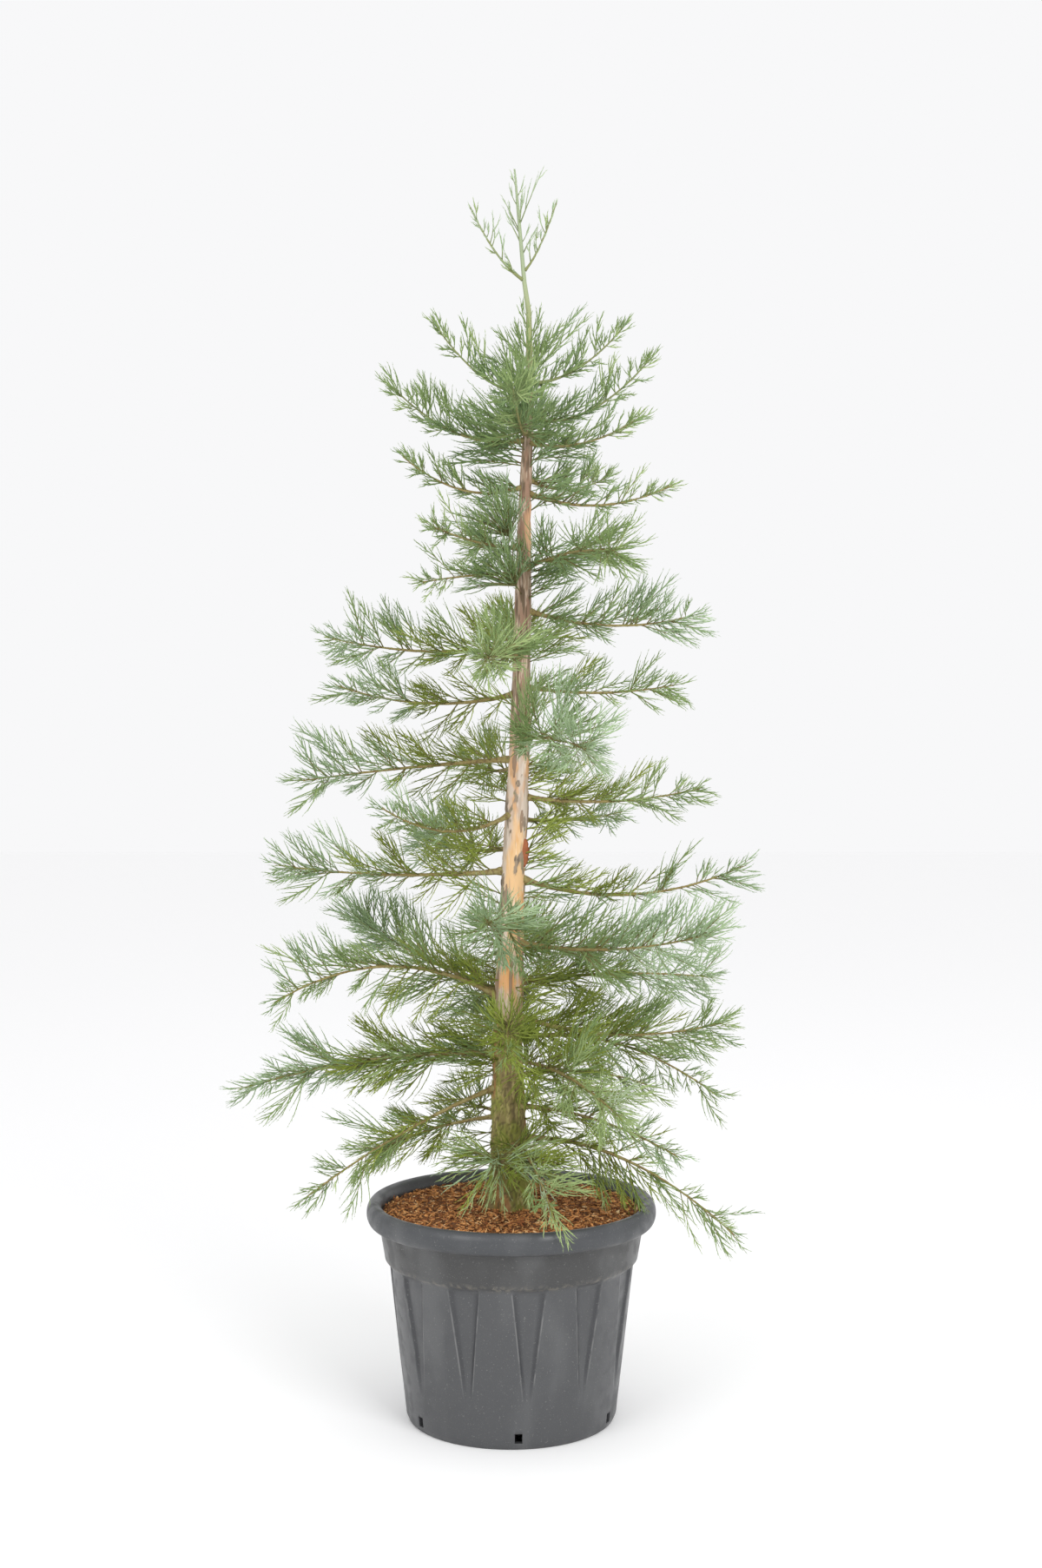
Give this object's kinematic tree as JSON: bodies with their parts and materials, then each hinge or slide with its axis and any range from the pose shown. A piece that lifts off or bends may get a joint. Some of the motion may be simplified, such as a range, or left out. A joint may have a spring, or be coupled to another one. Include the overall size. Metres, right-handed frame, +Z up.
{
  "type": "potted giant sequoia tree",
  "caption": "Young giant sequoia in a fluted black nursery pot: tapering trunk, long boughs in open tiers and sprays of cord-like needles up to a slim leader.",
  "frame": {"origin": "centre of the flat underside of the pot, on the floor", "axes": "+Z up along the trunk, +X to the right and -Y to the front as the tree is first seen"},
  "size_m": [1.0992, 0.8567, 2.5721],
  "materials": {
    "pot": "moulded charcoal black nursery plastic, dusty, worn pale along the edges",
    "mulch": "fine red-brown bark chips on soil",
    "bark": "flaking bark, mossy green at the foot, peach and grey patches above, green at the leader",
    "bough": "olive brown young wood with the bases of old needles",
    "foliage": "cords of short scale-like needles, blue-green at the tips and olive inside the crown"
  },
  "bodies": {
    "root": {"bough_lower_left": "bough", "bough_tier3_left": "bough", "bough_tier4_left": "bough", "bough_tier4_right": "bough", "bough_tier5_left": "bough", "bough_tier5_left_front": "bough", "bough_tier6_left": "bough", "foliage_crest_left": "foliage", "foliage_crest_right": "foliage", "foliage_front_olive": "foliage", "foliage_leader_left": "foliage", "foliage_leader_right": "foliage", "foliage_low_back": "foliage", "foliage_low_back_right": "foliage", "foliage_low_front": "foliage", "foliage_low_front_right": "foliage", "foliage_low_left_droop": "foliage", "foliage_low_left_twig": "foliage", "foliage_low_right": "foliage", "foliage_lower_back": "foliage", "foliage_lower_front": "foliage", "foliage_lower_left": "foliage", "foliage_lower_right": "foliage", "foliage_tier3_back": "foliage", "foliage_tier3_left": "foliage", "foliage_tier3_left_back": "foliage", "foliage_tier3_right": "foliage", "foliage_tier3_right_back": "foliage", "foliage_tier4_back": "foliage", "foliage_tier4_front": "foliage", "foliage_tier4_left": "foliage", "foliage_tier4_right": "foliage", "foliage_tier4_right_front": "foliage", "foliage_tier5_back": "foliage", "foliage_tier5_left": "foliage", "foliage_tier5_left_front": "foliage", "foliage_tier5_right": "foliage", "foliage_tier5_right_back": "foliage", "foliage_tier6_front": "foliage", "foliage_tier6_left": "foliage", "foliage_tier6_right": "foliage", "foliage_tier6_right_front": "foliage", "foliage_tier7_back": "foliage", "foliage_tier7_left": "foliage", "foliage_tier7_left_front": "foliage", "foliage_tier7_right": "foliage", "foliage_tier8_back": "foliage", "foliage_tier8_front": "foliage", "foliage_tier8_right_front": "foliage", "foliage_tier9_left": "foliage", "foliage_tier9_right": "foliage", "foliage_tier9_right_back": "foliage", "foliage_whorl_back": "foliage", "foliage_whorl_front": "foliage", "foliage_whorl_left": "foliage", "foliage_whorl_right": "foliage", "foliage_whorl_right_up": "foliage", "mulch": "mulch", "pot": "pot", "trunk": "bark"}
  },
  "joints": []
}
